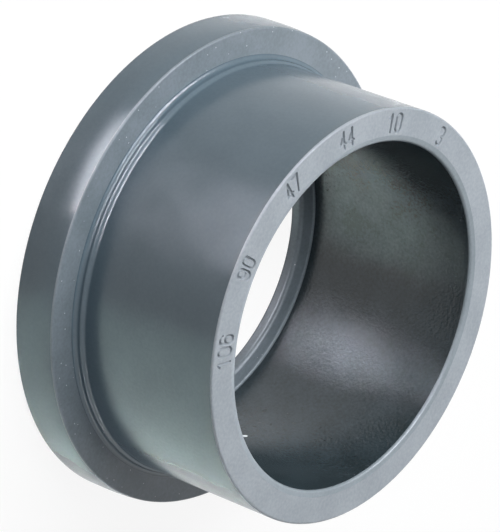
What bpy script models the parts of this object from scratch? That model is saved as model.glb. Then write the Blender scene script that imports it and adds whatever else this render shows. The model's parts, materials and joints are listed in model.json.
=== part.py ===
"""Lap joint stub end with a solvent-cement socket, one moulding in grey PVC-U.

A pipe is glued into the socket. A loose backing ring sits on the collar's front seat and is bolted up, which
presses the collar's serrated face against a gasket. Nothing on the stub moves.

Everything is turned about Z: one closed outline of the wall's section, swept round once. Units are metres.
The origin is the centre of the sealing face and +Z runs up the bore to the socket's mouth.
"""

import math

import bpy

# Driving dimensions. Radial ones build up outwards from the pipe, heights build up from the sealing face.
PIPE_DIAMETER = 0.075  # the pipe that the socket takes
MOUTH_PLAY = 0.00025  # the pipe's radial play where it enters
BOTTOM_GRIP = 0.00005  # how far the socket is tighter than the pipe at the stop, on the radius
SOCKET_DEPTH = 0.044  # from the mouth down to the stop
STOP_WIDTH = 0.00415  # the ledge that the pipe's end meets
STOP_THICKNESS = 0.003  # from the sealing face up to the stop
SOCKET_WALL = 0.00735  # at the mouth
BARREL_TAPER = 0.0001  # what the mould's draft adds to the barrel's radius from mouth to neck
STEP_WIDTH = 0.0016  # the neck step that centres the backing ring
STEP_HEIGHT = 0.0022
SEAT_WIDTH = 0.0062  # the flat seat of the backing ring, outside the neck step
COLLAR_THICKNESS = 0.010

# The mouth's rim falls slightly towards the socket over this band, to lead the pipe in.
LEAD_IN_WIDTH = 0.0014
LEAD_IN_DROP = 0.00025

# Roundings
MOUTH_ROUND = 0.00045
LEAD_IN_ROUND = 0.0003
NECK_FILLET = 0.0014
STEP_ROUND = 0.0002
SEAT_FILLET = 0.001
COLLAR_FRONT_ROUND = 0.0006
COLLAR_BACK_ROUND = 0.0005
BORE_ROUND = 0.0005
STOP_ROUND = 0.0005
SOCKET_CORNER_FILLET = 0.0005

# Serrations: V grooves round the sealing face, which bite into the gasket.
GROOVE_PITCH = 0.0020
GROOVE_WIDTH = 0.0009
GROOVE_DEPTH = 0.0005
INNER_LAND = 0.0030  # flat ring left beside the bore
OUTER_LAND = 0.0030  # flat ring left beside the collar's edge

# Facets
SEGMENTS = 96  # round the axis
LARGE_ARC = 0.0009  # a rounding of this radius or more gets the finer steps
LARGE_ARC_STEPS = 4
SMALL_ARC_STEPS = 2
SMOOTH_ANGLE = math.radians(30)
MERGE_DISTANCE = 0.00001

# Finish
PVC_GREY = (0.115, 0.138, 0.152, 1.0)  # linear
PVC_ROUGHNESS = 0.42
PVC_IOR = 1.54

# Radii and heights that follow
PIPE_RADIUS = PIPE_DIAMETER / 2
MOUTH_RADIUS = PIPE_RADIUS + MOUTH_PLAY
SOCKET_BOTTOM_RADIUS = PIPE_RADIUS - BOTTOM_GRIP
BORE_RADIUS = SOCKET_BOTTOM_RADIUS - STOP_WIDTH
BARREL_MOUTH_RADIUS = MOUTH_RADIUS + SOCKET_WALL
BARREL_NECK_RADIUS = BARREL_MOUTH_RADIUS + BARREL_TAPER
STEP_RADIUS = BARREL_NECK_RADIUS + STEP_WIDTH
COLLAR_RADIUS = STEP_RADIUS + SEAT_WIDTH
STEP_TOP = COLLAR_THICKNESS + STEP_HEIGHT
MOUTH_HEIGHT = STOP_THICKNESS + SOCKET_DEPTH


def serrations():
    """Corners of the V grooves along the sealing face, from the collar's edge in to the bore, all sharp."""
    outermost = COLLAR_RADIUS - OUTER_LAND
    innermost = BORE_RADIUS + INNER_LAND
    grooves = int((outermost - innermost - GROOVE_WIDTH) / GROOVE_PITCH) + 1
    start = (outermost + innermost + (grooves - 1) * GROOVE_PITCH) / 2
    corners = []
    for groove in range(grooves):
        middle = start - groove * GROOVE_PITCH
        corners.append((middle + GROOVE_WIDTH / 2, 0.0, 0.0))
        corners.append((middle, GROOVE_DEPTH, 0.0))
        corners.append((middle - GROOVE_WIDTH / 2, 0.0, 0.0))
    return corners


def wall_section():
    """Corners of the wall's section as (radius, height, rounding), down the outside and back up the bore."""
    outside = [
        (BARREL_MOUTH_RADIUS, MOUTH_HEIGHT, MOUTH_ROUND),
        (BARREL_NECK_RADIUS, STEP_TOP, NECK_FILLET),
        (STEP_RADIUS, STEP_TOP, STEP_ROUND),
        (STEP_RADIUS, COLLAR_THICKNESS, SEAT_FILLET),
        (COLLAR_RADIUS, COLLAR_THICKNESS, COLLAR_FRONT_ROUND),
        (COLLAR_RADIUS, 0.0, COLLAR_BACK_ROUND),
    ]
    inside = [
        (BORE_RADIUS, 0.0, BORE_ROUND),
        (BORE_RADIUS, STOP_THICKNESS, STOP_ROUND),
        (SOCKET_BOTTOM_RADIUS, STOP_THICKNESS, SOCKET_CORNER_FILLET),
        (MOUTH_RADIUS, MOUTH_HEIGHT - LEAD_IN_DROP, LEAD_IN_ROUND),
        (MOUTH_RADIUS + LEAD_IN_WIDTH, MOUTH_HEIGHT, 0.0),
    ]
    return outside + serrations() + inside


def unit_and_length(start, end):
    """Direction from start to end as a unit pair, and the distance."""
    dx, dz = end[0] - start[0], end[1] - start[1]
    length = math.hypot(dx, dz)
    return (dx / length, dz / length), length


def rounded(corners):
    """The closed outline with an arc in place of each rounded corner.

    An arc of radius r starts and ends r * tan(turn / 2) from its corner, where turn is the change of direction.
    Two arcs that meet on a short edge share it, so both are reduced to what the edge holds.
    """
    count = len(corners)
    edges = [unit_and_length(corners[i], corners[(i + 1) % count]) for i in range(count)]
    turns = []
    for i in range(count):
        (ax, az), (bx, bz) = edges[i - 1][0], edges[i][0]
        turns.append(math.atan2(ax * bz - az * bx, ax * bx + az * bz))
    setbacks = [corner[2] * math.tan(abs(turn) / 2) for corner, turn in zip(corners, turns)]
    room = []
    for i in range(count):
        wanted = setbacks[i] + setbacks[(i + 1) % count]
        room.append(min(1.0, edges[i][1] / wanted) if wanted else 1.0)

    points = []
    for i, (x, z, radius) in enumerate(corners):
        if not radius:
            points.append((x, z))
            continue
        limit = min(room[i - 1], room[i])
        (ax, az), (bx, bz) = edges[i - 1][0], edges[i][0]
        setback = setbacks[i] * limit
        arc_radius = radius * limit
        side = math.copysign(1.0, turns[i])
        # The centre lies square to the incoming edge, on the side that the outline turns to.
        centre_x = x - ax * setback - az * arc_radius * side
        centre_z = z - az * setback + ax * arc_radius * side
        start_angle = math.atan2(z - az * setback - centre_z, x - ax * setback - centre_x)
        steps = LARGE_ARC_STEPS if radius >= LARGE_ARC else SMALL_ARC_STEPS
        for step in range(steps + 1):
            angle = start_angle + turns[i] * step / steps
            points.append((centre_x + arc_radius * math.cos(angle), centre_z + arc_radius * math.sin(angle)))
    return without_repeats(points)


def without_repeats(points):
    """The outline without the points that fall on the one before, where two arcs share a whole edge."""
    return [
        point
        for i, point in enumerate(points)
        if math.dist(point, points[i - 1]) > MERGE_DISTANCE
    ]


def pvc_material():
    material = bpy.data.materials.new("moulded_pvc")
    material.use_nodes = True
    shader = material.node_tree.nodes["Principled BSDF"]
    shader.inputs["Base Color"].default_value = PVC_GREY
    shader.inputs["Roughness"].default_value = PVC_ROUGHNESS
    shader.inputs["Metallic"].default_value = 0.0
    shader.inputs["IOR"].default_value = PVC_IOR
    return material


def stub_end():
    """The stub: its wall section in the XZ plane, turned once round Z."""
    outline = rounded(wall_section())
    count = len(outline)
    mesh = bpy.data.meshes.new("stub_end")
    mesh.from_pydata(
        [(radius, 0.0, height) for radius, height in outline],
        [(i, (i + 1) % count) for i in range(count)],
        [],
    )
    mesh.materials.append(pvc_material())
    stub = bpy.data.objects.new("stub_end", mesh)
    collection.objects.link(stub)

    screw = stub.modifiers.new("turn", "SCREW")
    screw.axis = "Z"
    screw.angle = math.tau
    screw.steps = SEGMENTS
    screw.render_steps = SEGMENTS
    screw.use_merge_vertices = True
    screw.merge_threshold = MERGE_DISTANCE

    # The turned mesh is made final, so that its edges can be marked sharp or smooth.
    evaluated = stub.evaluated_get(bpy.context.evaluated_depsgraph_get())
    turned = bpy.data.meshes.new_from_object(evaluated)
    stub.modifiers.remove(screw)
    stub.data = turned
    bpy.data.meshes.remove(mesh)
    turned.name = "stub_end"
    turned.shade_smooth()
    turned.set_sharp_from_angle(angle=SMOOTH_ANGLE)
    return stub


for old in list(bpy.data.objects):
    bpy.data.objects.remove(old)

collection = bpy.data.collections.new("lap_joint_stub_end")
bpy.context.scene.collection.children.link(collection)
stub_end()
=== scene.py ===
"""Looks of a lap joint stub end: one moulding in grey PVC-U, standing on its collar.

The CAD node stub_end is replaced by a finer turned surface of the same section, in five finishes. Its edges
are softer, its neck is read more closely from the photograph, and plain numbers are sunk in the rim of the
mouth. Everything is in the CAD's frame: metres, origin at the centre of the sealing face, +Z up the bore.
"""

import json
import math

import bpy
import numpy as np
from mathutils import Matrix, Vector

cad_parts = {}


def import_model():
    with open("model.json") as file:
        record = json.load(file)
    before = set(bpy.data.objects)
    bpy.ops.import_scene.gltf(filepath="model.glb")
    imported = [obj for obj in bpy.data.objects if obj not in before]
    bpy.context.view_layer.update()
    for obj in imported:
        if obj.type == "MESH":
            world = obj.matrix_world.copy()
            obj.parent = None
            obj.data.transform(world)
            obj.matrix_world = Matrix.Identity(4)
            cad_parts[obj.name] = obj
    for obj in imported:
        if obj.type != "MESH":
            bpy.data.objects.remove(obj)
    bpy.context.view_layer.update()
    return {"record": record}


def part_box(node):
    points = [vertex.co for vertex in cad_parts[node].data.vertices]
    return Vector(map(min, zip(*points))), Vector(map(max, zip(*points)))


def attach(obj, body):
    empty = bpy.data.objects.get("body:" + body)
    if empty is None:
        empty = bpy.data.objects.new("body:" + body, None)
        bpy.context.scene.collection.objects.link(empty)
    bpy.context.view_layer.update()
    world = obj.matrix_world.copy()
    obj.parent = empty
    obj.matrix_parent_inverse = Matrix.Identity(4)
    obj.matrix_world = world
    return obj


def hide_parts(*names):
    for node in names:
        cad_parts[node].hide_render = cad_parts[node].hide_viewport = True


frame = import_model()

MM = 0.001
MOUNTS = {mount["name"]: Vector(mount["pos_m"]) for mount in frame["record"]["mounts"]}

# Sizes of the section, the overall ones read from the frame
COLLAR_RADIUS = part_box("stub_end")[1][0]
MOUTH_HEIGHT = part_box("stub_end")[1][2]
COLLAR_THICKNESS = MOUNTS["backing_ring_seat"].z
STOP_THICKNESS = MOUNTS["pipe_stop"].z
BARREL_MOUTH_RADIUS = 45.1 * MM
BARREL_NECK_RADIUS = 45.2 * MM
STEP_FOOT_RADIUS = 45.9 * MM
STEP_RADIUS = 45.8 * MM
STEP_HEIGHT = 1.5 * MM
STEP_RISE = 0.6 * MM  # the cone from the step's edge up to the barrel
SOCKET_MOUTH_RADIUS = 37.75 * MM
SOCKET_BOTTOM_RADIUS = 37.45 * MM
BORE_RADIUS = 33.3 * MM
LEAD_IN_WIDTH = 1.4 * MM
LEAD_IN_DROP = 0.25 * MM

# Roundings
MOUTH_ROUND = 0.45 * MM
NECK_ROUND = 0.85 * MM
SEAT_FILLET = 1.0 * MM
COLLAR_FRONT_ROUND = 0.4 * MM
COLLAR_BACK_ROUND = 0.5 * MM
BORE_ROUND = 0.5 * MM
LEDGE_ROUND = 1.0 * MM
SOCKET_CORNER_FILLET = 0.5 * MM
LIP_ROUND = 0.65 * MM

# The collar's rim leans in towards its front edge, as the mould's draft and the shrinking left it.
CROWN = 0.38 * MM
CROWN_START = 4.6 * MM
CROWN_BAND = 0.7 * MM  # how far in from the rim the front edge goes with it

# Serrations of the sealing face
GROOVE_PITCH = 2.0 * MM
GROOVE_WIDTH = 0.9 * MM
GROOVE_DEPTH = 0.5 * MM
GROOVES = 7

# Numbers sunk in the rim of the mouth: the part's own sizes in millimetres
DIGIT_HEIGHT = 4.3 * MM
DIGIT_WIDTH = 2.15 * MM
DIGIT_GAP = 0.45 * MM
DIGIT_ARC_STEP = 15  # degrees
STROKE = 0.42 * MM
NUMBER_DEPTH = 0.45 * MM
NUMBER_WALL = 0.12 * MM  # the run of the sloping wall round a stroke
NUMBER_MARGIN = 0.3 * MM
NUMBER_LOW_RADIUS = 39.6 * MM
NUMBER_MIDDLE_RADIUS = NUMBER_LOW_RADIUS + DIGIT_HEIGHT / 2
NUMBER_ANGLES = (-68.0, -92.0, -118.5, -142.5, -163.5, -187.0)

# A sliver of flash that stayed on the lip: its place, its direction and its half axes
SLIVER_ANGLE = math.radians(-35.5)
SLIVER_RADIUS = 37.4 * MM
SLIVER_BELOW_MOUTH = 0.6 * MM
SLIVER_ALONG = (-0.352, 0.561, 0.749)
SLIVER_HALF_AXES = np.array([0.66, 0.22, 0.14]) * MM
SLIVER_RINGS = 9
SLIVER_COLUMNS = 16
SLIVER_LAST_RING = 0.49 * math.pi  # the latitude that a flat cap closes

# Spacing of the surface's grid
ARC_STEP = math.radians(12)
FEWEST_ARC_STEPS = 3
HOLD = 0.06 * MM  # from the end of a rounding to the row that holds its edge
LONG_EDGE = 9 * MM
CROWN_ROWS = 14
COARSE_COLUMN = 1.45 * MM
FINE_COLUMN = 0.12 * MM
SHARP_ANGLE = math.radians(30)

# The plastic: clouds and flecks in its tone, clouds in its gloss, and how far from 0.5 their noise is used
PVC_IOR = 1.54
TONE_CLOUD = 9 * MM
TONE_FLECK = 0.7 * MM
TONE_SPREAD = 0.13
GLOSS_CLOUD = 5 * MM
GLOSS_SPREAD = 0.2
GRAIN = {"Detail": 2.0, "Roughness": 0.55}

# Dust, drawn coarser than it is so that it shows
DUST_CELL = 1.0 * MM
DUST_SIZE = 0.26 * MM
DUST_COLOUR = "#c9ced2"


def section():
    """Corners of the wall's section as (radius, height, rounding, skin), down the outside and up the bore.

    The skin names the finish of the stretch from that corner to the next.
    """
    step_top = COLLAR_THICKNESS + STEP_HEIGHT
    outside = [
        (BARREL_MOUTH_RADIUS, MOUTH_HEIGHT, MOUTH_ROUND, "shell"),
        (BARREL_NECK_RADIUS, step_top + STEP_RISE, NECK_ROUND, "shell"),
        (STEP_RADIUS, step_top, NECK_ROUND, "shell"),
        (STEP_FOOT_RADIUS, COLLAR_THICKNESS, SEAT_FILLET, "seat"),
        (COLLAR_RADIUS, COLLAR_THICKNESS, COLLAR_FRONT_ROUND, "shell"),
        (COLLAR_RADIUS, 0.0, COLLAR_BACK_ROUND, "shell"),
    ]
    first_groove = (COLLAR_RADIUS + BORE_RADIUS + (GROOVES - 1) * GROOVE_PITCH) / 2
    sealing_face = [
        (first_groove - groove * GROOVE_PITCH - side * GROOVE_WIDTH / 2, depth, 0.0, "shell")
        for groove in range(GROOVES)
        for side, depth in ((-1, 0.0), (0, GROOVE_DEPTH), (1, 0.0))
    ]
    inside = [
        (BORE_RADIUS, 0.0, BORE_ROUND, "seat"),
        (BORE_RADIUS, STOP_THICKNESS, LEDGE_ROUND, "seat"),
        (SOCKET_BOTTOM_RADIUS, STOP_THICKNESS, SOCKET_CORNER_FILLET, "socket"),
        (SOCKET_MOUTH_RADIUS, MOUTH_HEIGHT - LEAD_IN_DROP, LIP_ROUND, "lead_in"),
        (SOCKET_MOUTH_RADIUS + LEAD_IN_WIDTH, MOUTH_HEIGHT, 0.0, "rim"),
    ]
    return outside + sealing_face + inside


def bend(corner, incoming, turn, setback, radius):
    """Points of a corner's rounding, which starts the setback before the corner.

    They are centre + spoke cos s + across sin s, with s from 0 to the turn: the spoke points from the centre
    to the start, and across is the spoke turned by a quarter.
    """
    spoke = math.copysign(radius, turn) * np.array([incoming[1], -incoming[0]])
    across = np.array([-spoke[1], spoke[0]])
    centre = corner - incoming * setback - spoke
    steps = max(FEWEST_ARC_STEPS, math.ceil(abs(turn) / ARC_STEP))
    swept = np.linspace(0.0, turn, steps + 1)[:, None]
    return centre + np.cos(swept) * spoke + np.sin(swept) * across


def places_along(start, end, skin, meets_rounding):
    """Where a straight stretch has rows of its own, as shares of its length.

    The rim of the mouth has even fine rows for its numbers and the collar's rim has even ones for its lean.
    Another stretch that meets a rounding has one row close to each end, and more between if it is long.
    """
    length = np.linalg.norm(end - start)
    if skin == "rim":
        fine = np.arange(HOLD, length - HOLD, FINE_COLUMN) / length
        return np.append(fine, 1 - HOLD / length)
    if np.allclose((start[0], end[0]), COLLAR_RADIUS):
        return np.linspace(0.02, 0.98, CROWN_ROWS)
    if meets_rounding and length > 4 * HOLD:
        return np.linspace(HOLD / length, 1 - HOLD / length, max(2, int(length / LONG_EDGE) + 1))
    return np.zeros(0)


def section_rows():
    """The section as rows of (radius, height) with the skin of the strip after each row.

    A rounding of radius r takes r tan(turn / 2) from the stretch on either side of its corner.
    """
    corners = section()
    points = np.array([corner[:2] for corner in corners])
    ahead = np.roll(points, -1, axis=0) - points
    ahead /= np.linalg.norm(ahead, axis=1, keepdims=True)
    behind = np.roll(ahead, 1, axis=0)
    turns = np.arctan2(behind[:, 0] * ahead[:, 1] - behind[:, 1] * ahead[:, 0], (behind * ahead).sum(1))
    setbacks = np.array([corner[2] for corner in corners]) * np.tan(np.abs(turns) / 2)

    rows, skins = [], []
    for i, (_, _, radius, skin) in enumerate(corners):
        following = (i + 1) % len(corners)
        rounding = points[i][None, :]
        if radius:
            rounding = bend(points[i], behind[i], turns[i], setbacks[i], radius)
        rows.append(rounding)
        # The core's lead-in takes in the lip. Every other rounding has the finish of the stretch before it.
        rounding_skin = skin if skin == "lead_in" else corners[i - 1][3]
        skins += [rounding_skin] * (len(rounding) - 1) + [skin]
        start = points[i] + ahead[i] * setbacks[i]
        end = points[following] - ahead[i] * setbacks[following]
        places = places_along(start, end, skin, bool(radius or corners[following][2]))
        rows.append(start + places[:, None] * (end - start))
        skins += [skin] * len(places)
    rows = np.concatenate(rows)
    on_edge = rows[:, 0] > COLLAR_RADIUS - CROWN_BAND
    lean = np.clip((rows[:, 1] - CROWN_START) / (COLLAR_THICKNESS - CROWN_START), 0.0, 1.0)
    rows[:, 0] -= on_edge * CROWN * lean**2
    return rows, skins


def arc(middle_x, middle_y, wide, high, start, end):
    """Points of an elliptic arc, from one angle in degrees to another."""
    angles = np.radians(np.linspace(start, end, 2 + int(abs(end - start) / DIGIT_ARC_STEP)))
    return np.column_stack([middle_x + wide * np.cos(angles), middle_y + high * np.sin(angles)])


def digit_strokes(digit, wide, high):
    """Middle lines of a digit's strokes, in a box wide by high with its low corner at 0, 0."""
    a = wide / 2
    if digit == "0":
        ring = np.vstack([arc(a, high - a, a, a, 0, 180), arc(a, a, a, a, 180, 360)])
        return [np.vstack([ring, ring[:1]])]
    if digit == "1":
        return [np.array([(0.3 * a, high - a), (1.2 * a, high), (1.2 * a, 0)])]
    if digit == "2":
        return [np.vstack([arc(a, high - a, a, a, 170, -30), [(0, 0), (wide, 0)]])]
    if digit == "3":
        upper = arc(a, 0.75 * high, a, 0.25 * high, 150, -90)
        return [upper, arc(a, 0.25 * high, a, 0.25 * high, 90, -150)]
    if digit == "4":
        return [np.array([(1.45 * a, 0), (1.45 * a, high), (0, 0.28 * high), (wide, 0.28 * high)])]
    if digit == "5":
        bowl = arc(a, 0.29 * high, a, 0.29 * high, 120, -150)
        return [np.array([(1.8 * a, high), (0.2 * a, high), (0.1 * a, 0.5 * high)]), bowl]
    if digit == "6":
        hook = arc(a, high - a, a, a, 20, 180)
        bowl = np.vstack([arc(a, a, a, a, 180, 360), arc(a, 0.6 * high - a, a, a, 0, 180)])
        return [np.vstack([hook, bowl])]
    if digit == "7":
        return [np.array([(0, high), (wide, high), (0.6 * a, 0)])]
    if digit == "8":
        upper = arc(a, 0.75 * high, 0.9 * a, 0.25 * high, 0, 360)
        return [upper, arc(a, 0.25 * high, a, 0.25 * high, 0, 360)]
    # A 9 is a 6 turned upside down.
    return [np.array([(wide, high)]) - line for line in digit_strokes("6", wide, high)]


def numbers_on_rim():
    """(text, middle angle) of each number, round the rim from the number that the camera sees lowest."""
    sizes = (
        2 * COLLAR_RADIUS,
        2 * BARREL_MOUTH_RADIUS,
        MOUTH_HEIGHT,
        MOUTH_HEIGHT - STOP_THICKNESS,
        COLLAR_THICKNESS,
        STOP_THICKNESS,
    )
    return [(str(round(size / MM)), math.radians(angle)) for size, angle in zip(sizes, NUMBER_ANGLES)]


def number_length(text):
    return len(text) * DIGIT_WIDTH + (len(text) - 1) * DIGIT_GAP


def columns():
    """Angles of the grid's columns once round: fine where a number is, coarse elsewhere."""
    spans = []
    for text, angle in numbers_on_rim():
        half = (number_length(text) / 2 + NUMBER_MARGIN) / NUMBER_MIDDLE_RADIUS
        spans.append((angle % math.tau - half, angle % math.tau + half))
    spans.sort()
    angles = []
    for i, (low, high) in enumerate(spans):
        angles.append(np.linspace(low, high, round((high - low) * NUMBER_MIDDLE_RADIUS / FINE_COLUMN)))
        gap_end = spans[i + 1][0] if i + 1 < len(spans) else spans[0][0] + math.tau
        gap_columns = round((gap_end - high) * NUMBER_MIDDLE_RADIUS / COARSE_COLUMN)
        angles.append(np.linspace(high, gap_end, gap_columns + 1)[1:-1])
    return np.concatenate(angles)


def smooth_step(x):
    """0 below 0, 1 above 1, and 3x^2 - 2x^3 between."""
    x = np.clip(x, 0.0, 1.0)
    return x * x * (3 - 2 * x)


def sunk_numbers(radii, angles):
    """How far the rim lies below its flat at each radius and angle.

    Along the rim u runs clockwise and v outwards. A point is sunk by the full depth up to half a stroke less
    half the wall from the nearest stroke's middle line, and the wall rises from there.
    """
    wide, high = DIGIT_WIDTH - STROKE, DIGIT_HEIGHT - STROKE
    depth = np.zeros((len(radii), len(angles)))
    for text, angle in numbers_on_rim():
        turned = (angle - angles + math.pi) % math.tau - math.pi
        u = turned * NUMBER_MIDDLE_RADIUS + number_length(text) / 2
        near = np.flatnonzero((u > -MM) & (u < number_length(text) + MM))
        lines = []
        for place, digit in enumerate(text):
            corner = np.array([place * (DIGIT_WIDTH + DIGIT_GAP) + STROKE / 2, STROKE / 2])
            lines += [corner + line for line in digit_strokes(digit, wide, high)]
        starts = np.vstack([line[:-1] for line in lines])
        runs = np.vstack([line[1:] for line in lines]) - starts
        grid_v, grid_u = np.meshgrid(radii - NUMBER_LOW_RADIUS, u[near], indexing="ij")
        offset = np.stack([grid_u, grid_v], axis=-1)[..., None, :] - starts
        share = np.clip((offset * runs).sum(-1) / (runs**2).sum(-1), 0.0, 1.0)
        distance = np.linalg.norm(offset - share[..., None] * runs, axis=-1).min(-1)
        up_the_wall = (distance - STROKE / 2 + NUMBER_WALL / 2) / NUMBER_WALL
        depth[:, near] = NUMBER_DEPTH * (1 - smooth_step(up_the_wall))
    return depth


def stub_surface(skins_in_order):
    """The stub's skin: x = r cos a, y = r sin a, z = h - sunk, over the section's rows (r, h) and columns a.

    Both directions close on themselves, so the surface has no seam and no end.
    """
    rows, strip_skins = section_rows()
    angles = columns()
    radii = np.repeat(rows[:, :1], len(angles), axis=1)
    heights = np.repeat(rows[:, 1:], len(angles), axis=1)
    on_rim = np.flatnonzero(np.isclose(rows[:, 1], MOUTH_HEIGHT, atol=1e-7))
    heights[on_rim] -= sunk_numbers(rows[on_rim, 0], angles)
    points = np.stack([radii * np.cos(angles), radii * np.sin(angles), heights], axis=-1).reshape(-1, 3)

    wide = len(angles)
    low = np.arange(len(rows))[:, None] * wide
    high = np.roll(low, -1, axis=0)
    column = np.arange(wide)[None, :]
    aside = np.roll(column, -1, axis=1)
    quads = np.stack([low + column, high + column, high + aside, low + aside], axis=-1).reshape(-1, 4)
    skin_numbers = np.repeat([skins_in_order.index(skin) for skin in strip_skins], wide)
    return points, quads, skin_numbers


def mesh_from_quads(name, points, quads):
    """A mesh whose points and four-sided faces are put in as whole arrays."""
    mesh = bpy.data.meshes.new(name)
    mesh.vertices.add(len(points))
    mesh.vertices.foreach_set("co", points.astype(np.float32).ravel())
    mesh.loops.add(quads.size)
    mesh.loops.foreach_set("vertex_index", quads.astype(np.int32).ravel())
    mesh.polygons.add(len(quads))
    mesh.polygons.foreach_set("loop_start", np.arange(0, quads.size, 4, dtype=np.int32))
    mesh.update(calc_edges=True)
    return mesh


def linear(hex_colour):
    """An sRGB hex colour as linear red, green, blue and alpha."""
    parts = [int(hex_colour[i : i + 2], 16) / 255 for i in (1, 3, 5)]
    return [c / 12.92 if c <= 0.04045 else ((c + 0.055) / 1.055) ** 2.4 for c in parts] + [1.0]


def add(tree, kind, settings=None, **links):
    """Adds a node. Settings are its own properties. Links are values or sockets for its inputs.

    An input goes by its name, with _ for a space, or by _ and its number where names repeat.
    """
    node = tree.nodes.new(kind)
    for key, value in (settings or {}).items():
        setattr(node, key, value)
    for key, value in links.items():
        socket = node.inputs[int(key[1:])] if key[0] == "_" else node.inputs[key.replace("_", " ")]
        if isinstance(value, bpy.types.NodeSocket):
            tree.links.new(value, socket)
        else:
            socket.default_value = value
    return node


def new_material(name):
    material = bpy.data.materials.new(name)
    material.use_nodes = True
    material.node_tree.nodes.clear()
    return material, material.node_tree


def dust(tree, place, kept):
    """1 on specks of dust, one at most in each cell and only in the kept share of the cells."""
    cells = add(tree, "ShaderNodeTexVoronoi", Vector=place, Scale=1 / DUST_CELL)
    reach = DUST_SIZE / 2 / DUST_CELL
    near = add(tree, "ShaderNodeMath", {"operation": "LESS_THAN"}, _0=cells.outputs["Distance"], _1=reach)
    drawn = add(tree, "ShaderNodeSeparateColor", Color=cells.outputs["Color"]).outputs[0]
    drawn = add(tree, "ShaderNodeMath", {"operation": "LESS_THAN"}, _0=drawn, _1=kept)
    specks = add(tree, "ShaderNodeMath", {"operation": "MULTIPLY"}, _0=near.outputs[0], _1=drawn.outputs[0])
    return specks.outputs[0]


def pvc(name, colours, roughness, ripple, ripple_size, dusty=0.0):
    """Grey PVC-U: colours is the pair that its tone wanders between, roughness the pair for its gloss.

    The ripple is what the mould's skin leaves: its height and the size of its cells. A dusty surface has a
    speck of dust in that share of its cells.
    """
    material, tree = new_material(name)
    place = add(tree, "ShaderNodeTexCoord").outputs["Object"]
    clouds = add(tree, "ShaderNodeTexNoise", Vector=place, Scale=1 / TONE_CLOUD, **GRAIN)
    flecks = add(tree, "ShaderNodeTexNoise", Vector=place, Scale=1 / TONE_FLECK, **GRAIN)
    both = add(tree, "ShaderNodeMath", {"operation": "ADD"}, _0=clouds.outputs[0], _1=flecks.outputs[0])
    middle = add(tree, "ShaderNodeMath", {"operation": "MULTIPLY"}, _0=both.outputs[0], _1=0.5)
    share = add(
        tree,
        "ShaderNodeMapRange",
        Value=middle.outputs[0],
        From_Min=0.5 - TONE_SPREAD,
        From_Max=0.5 + TONE_SPREAD,
    )
    first, second = linear(colours[0]), linear(colours[1])
    tone = add(tree, "ShaderNodeMix", {"data_type": "RGBA"}, _0=share.outputs[0], _6=first, _7=second)
    tone = tone.outputs[2]
    patches = add(tree, "ShaderNodeTexNoise", Vector=place, Scale=1 / GLOSS_CLOUD, **GRAIN)
    gloss = add(
        tree,
        "ShaderNodeMapRange",
        Value=patches.outputs[0],
        From_Min=0.5 - GLOSS_SPREAD,
        From_Max=0.5 + GLOSS_SPREAD,
        To_Min=roughness[0],
        To_Max=roughness[1],
    ).outputs[0]
    if dusty:
        specks = dust(tree, place, dusty)
        pale = linear(DUST_COLOUR)
        tone = add(tree, "ShaderNodeMix", {"data_type": "RGBA"}, _0=specks, _6=tone, _7=pale).outputs[2]
        gloss = add(tree, "ShaderNodeMath", {"operation": "MAXIMUM"}, _0=gloss, _1=specks).outputs[0]
    ripples = add(tree, "ShaderNodeTexNoise", Vector=place, Scale=1 / ripple_size, **GRAIN)
    skin = add(tree, "ShaderNodeBump", Strength=1.0, Distance=ripple, Height=ripples.outputs[0])
    shader = add(
        tree,
        "ShaderNodeBsdfPrincipled",
        Base_Color=tone,
        Roughness=gloss,
        IOR=PVC_IOR,
        Normal=skin.outputs[0],
    )
    add(tree, "ShaderNodeOutputMaterial", Surface=shader.outputs[0])
    return material


def stub():
    skins = {
        # Polished steel mould: satin gloss that shows soft bands of light along the barrel
        "shell": pvc("pvc_u_polished_mould", ("#4a5b66", "#50616c"), (0.20, 0.26), 0.0012 * MM, 1.2 * MM),
        # Scuffed by handling, on the ring's seat, the ledge and the bore: greyer, flatter and dusty
        "seat": pvc("pvc_u_scuffed_seat", ("#5f6a71", "#6e7880"), (0.36, 0.48), 0.004 * MM, 0.5 * MM, 0.16),
        # Spark-eroded mould: a matt grey round the mouth, its grit drawn coarser than it is, to show
        # Its light tone is partly that matt finish and partly painted light on the mouth's face
        "rim": pvc("pvc_u_matt_rim_and_painted_light", ("#7f878e", "#8f969d"), (0.42, 0.52), 0.006 * MM, 0.4 * MM),
        # Turned edge of the core: a smoother band that leads the pipe in
        # It is darker than the rim by painted shade
        "lead_in": pvc("pvc_u_lead_in_painted_shade", ("#727c83", "#7e888f"), (0.34, 0.42), 0.002 * MM, 0.6 * MM),
        # The core's skin: glossy, with an orange peel that breaks up what it mirrors
        # Its dark tone is painted shade deep in the socket: the plastic is the shell's grey
        "socket": pvc("pvc_u_socket_wall_painted_shade", ("#222d31", "#313d43"), (0.16, 0.22), 0.085 * MM, 0.6 * MM),
    }
    points, quads, skin_numbers = stub_surface(list(skins))
    mesh = mesh_from_quads("stub_end_skin", points, quads)
    mesh.polygons.foreach_set("material_index", skin_numbers.astype(np.int32))
    for material in skins.values():
        mesh.materials.append(material)
    mesh.shade_smooth()
    mesh.set_sharp_from_angle(angle=SHARP_ANGLE)
    piece = bpy.data.objects.new("stub_end_skin", mesh)
    bpy.context.scene.collection.objects.link(piece)
    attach(piece, "root")
    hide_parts("stub_end")


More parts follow.
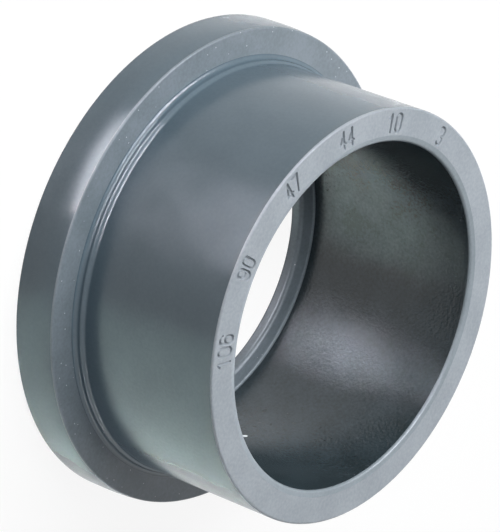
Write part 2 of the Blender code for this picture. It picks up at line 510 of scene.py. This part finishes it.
def sliver():
    """A sliver of flash on the lip, turned in over the socket: a ball drawn out to its half axes.

    On the ball, latitude t and longitude a give (sin t, cos t cos a, cos t sin a). The rings stop short of
    the poles, where four-sided faces across the last ring close it.
    """
    wide = SLIVER_COLUMNS
    longitude = np.linspace(0.0, math.tau, wide, endpoint=False)[None, :]
    latitude = np.linspace(-SLIVER_LAST_RING, SLIVER_LAST_RING, SLIVER_RINGS)[:, None]
    level = np.sin(latitude) + np.zeros_like(longitude)
    ring = np.cos(latitude)
    ball = np.stack([level, ring * np.cos(longitude), ring * np.sin(longitude)], axis=-1).reshape(-1, 3)

    low = np.arange(SLIVER_RINGS - 1)[:, None] * wide
    column = np.arange(wide)[None, :]
    aside = np.roll(column, -1, axis=1)
    sides = np.stack([low + column, low + aside, low + wide + aside, low + wide + column], axis=-1)
    across = np.arange(wide // 2 - 1)
    cap = np.column_stack([across, across + 1, wide - 2 - across, wide - 1 - across])
    quads = np.vstack([sides.reshape(-1, 4), cap[:, ::-1], cap + (SLIVER_RINGS - 1) * wide])

    place = Vector((SLIVER_RADIUS, 0.0, MOUTH_HEIGHT - SLIVER_BELOW_MOUTH))
    place = np.array(Matrix.Rotation(SLIVER_ANGLE, 3, "Z") @ place)
    turn = np.array(Vector(SLIVER_ALONG).to_track_quat("X", "Z").to_matrix())
    mesh = mesh_from_quads("flash_sliver", (ball * SLIVER_HALF_AXES) @ turn.T + place, quads)
    mesh.shade_smooth()
    # Torn plastic: white where it was stretched
    mesh.materials.append(pvc("pvc_u_torn_flash", ("#d6dade", "#e4e7ea"), (0.5, 0.6), 0.004 * MM, 0.3 * MM))
    piece = bpy.data.objects.new("flash_sliver", mesh)
    bpy.context.scene.collection.objects.link(piece)
    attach(piece, "root")


# Lamps: the direction in which each lies from the object, its distance, width and height in metres, its
# power, its colour, and whether matt surfaces and gloss see it
LAMPS = {
    "overhead_box": ((-0.62, -0.25, 0.75), 0.8, 0.80, 0.60, 11.0, "#ffffff", True, False),
    "high_card": ((-0.50, 0.01, 0.866), 0.8, 0.50, 0.50, 12.5, "#f0f4ff", False, True),
    "right_bounce": ((1.00, 0.00, -0.10), 0.8, 0.75, 0.50, 1.9, "#f4faff", True, True),
    "back_box": ((-0.17, 0.98, 0.05), 0.8, 0.45, 0.60, 2.2, "#eaf2ff", False, True),
    "left_strip": ((-0.343, -0.893, -0.292), 0.4, 0.29, 0.14, 2.0, "#eef2ff", False, True),
    "left_upper": ((-0.405, -0.910, 0.087), 0.8, 0.95, 0.62, 17.0, "#f0f4ff", False, True),
    "table_card": ((0.79, 0.02, -0.60), 0.8, 1.60, 0.35, 2.0, "#d2f8f2", False, True),
    "wall_card": ((-0.75, 0.27, -0.60), 0.8, 1.60, 0.35, 0.5, "#eaf2ff", False, True),
    "bore_card": ((-0.350, -0.557, -0.753), 0.084, 0.036, 0.032, 0.018, "#e4ecff", False, True),
}
LAMPS_FACE = Vector((0.0, 0.0, MOUTH_HEIGHT / 2))
FILL = 0.15  # what the backdrop itself adds on matt surfaces

# The floor, in metres, and the share of it that glows by itself and so takes no shadow
FLOOR_REACH = 3.0
FLOOR_BELOW = 0.05 * MM
FLOOR_GLOW = 0.9

# The camera's place in the photograph, its sensor in millimetres, and the range that it sees in metres
CAMERA_DISTANCE = 0.850
CAMERA_ELEVATION = math.radians(36.82)
CAMERA_ROLL = math.radians(20.63)
CAMERA_SENSOR = 36.0
CAMERA_RANGE = (0.01, 20.0)
IMAGE_WIDE, IMAGE_HIGH = 500, 532
PIXELS_PER_METRE = 4670.0
ORIGIN_PIXEL = (189.28, 254.24)


def camera():
    """A camera at the photograph's angle: the origin falls on its pixel, at the distance and scale given."""
    forward = Vector((0.0, math.cos(CAMERA_ELEVATION), -math.sin(CAMERA_ELEVATION)))
    along = Vector((0.0, 0.0, 1.0))
    along = (along - along.dot(forward) * forward).normalized()
    across = forward.cross(along)
    right = math.cos(CAMERA_ROLL) * along - math.sin(CAMERA_ROLL) * across
    down = math.sin(CAMERA_ROLL) * along + math.cos(CAMERA_ROLL) * across
    shift_right = (ORIGIN_PIXEL[0] - IMAGE_WIDE / 2) / PIXELS_PER_METRE
    shift_down = (ORIGIN_PIXEL[1] - IMAGE_HIGH / 2) / PIXELS_PER_METRE
    data = bpy.data.cameras.new("camera")
    data.sensor_width = CAMERA_SENSOR
    data.lens = PIXELS_PER_METRE * CAMERA_DISTANCE * CAMERA_SENSOR / max(IMAGE_WIDE, IMAGE_HIGH)
    data.clip_start, data.clip_end = CAMERA_RANGE
    view = bpy.data.objects.new("camera", data)
    view.matrix_world = Matrix((right, -down, -forward)).transposed().to_4x4()
    view.location = -(shift_right * right + shift_down * down + CAMERA_DISTANCE * forward)
    bpy.context.scene.collection.objects.link(view)
    bpy.context.scene.camera = view


def lamp(name, towards, distance, wide, high, power, colour, matt, gloss):
    """A soft rectangular lamp that lies towards a direction from the object and faces it."""
    light = bpy.data.lights.new(name, "AREA")
    light.shape = "RECTANGLE"
    light.size = wide
    light.size_y = high
    light.energy = power
    light.color = linear(colour)[:3]
    light.cycles.use_multiple_importance_sampling = False
    holder = bpy.data.objects.new(name, light)
    direction = Vector(towards).normalized()
    holder.location = direction * distance + LAMPS_FACE
    holder.rotation_mode = "QUATERNION"
    holder.rotation_quaternion = direction.to_track_quat("Z", "Y")
    holder.visible_camera = False
    holder.visible_diffuse = matt
    holder.visible_glossy = gloss
    bpy.context.scene.collection.objects.link(holder)


def background_rays(tree):
    """1 for rays that show the background: the camera's, a gloss's and a glass's. 0 for those that light."""
    rays = add(tree, "ShaderNodeLightPath").outputs
    seen = rays["Is Camera Ray"]
    for kind in ("Is Glossy Ray", "Is Transmission Ray"):
        seen = add(tree, "ShaderNodeMath", {"operation": "MAXIMUM"}, _0=seen, _1=rays[kind]).outputs[0]
    return seen


def floor():
    """A matt pale floor. Lamps below it reach the object, which in the photograph lies on its side."""
    material, tree = new_material("matt_white_floor")
    matt = add(tree, "ShaderNodeBsdfDiffuse", Color=linear("#f4f6f7"))
    glow = add(tree, "ShaderNodeEmission", Color=linear("#ffffff"), Strength=background_rays(tree))
    both = add(tree, "ShaderNodeMixShader", Fac=FLOOR_GLOW, _1=matt.outputs[0], _2=glow.outputs[0])
    add(tree, "ShaderNodeOutputMaterial", Surface=both.outputs[0])
    corners = np.array([(-1, -1), (1, -1), (1, 1), (-1, 1)]) * FLOOR_REACH
    corners = np.column_stack([corners, np.full(4, -FLOOR_BELOW)])
    mesh = mesh_from_quads("floor", corners, np.array([[0, 1, 2, 3]]))
    mesh.materials.append(material)
    plane = bpy.data.objects.new("floor", mesh)
    plane.visible_shadow = False
    bpy.context.scene.collection.objects.link(plane)


def world():
    """White to the camera and in gloss, and a dim even fill on matt surfaces."""
    backdrop = bpy.data.worlds.new("studio")
    backdrop.use_nodes = True
    tree = backdrop.node_tree
    tree.nodes.clear()
    strength = add(tree, "ShaderNodeMath", {"operation": "MAXIMUM"}, _0=background_rays(tree), _1=FILL)
    shader = add(tree, "ShaderNodeBackground", Color=linear("#ffffff"), Strength=strength.outputs[0])
    add(tree, "ShaderNodeOutputWorld", Surface=shader.outputs[0])
    bpy.context.scene.world = backdrop


stub()
sliver()
camera()
floor()
world()
for name, settings in LAMPS.items():
    lamp(name, *settings)

bpy.context.scene.view_settings.view_transform = "Standard"
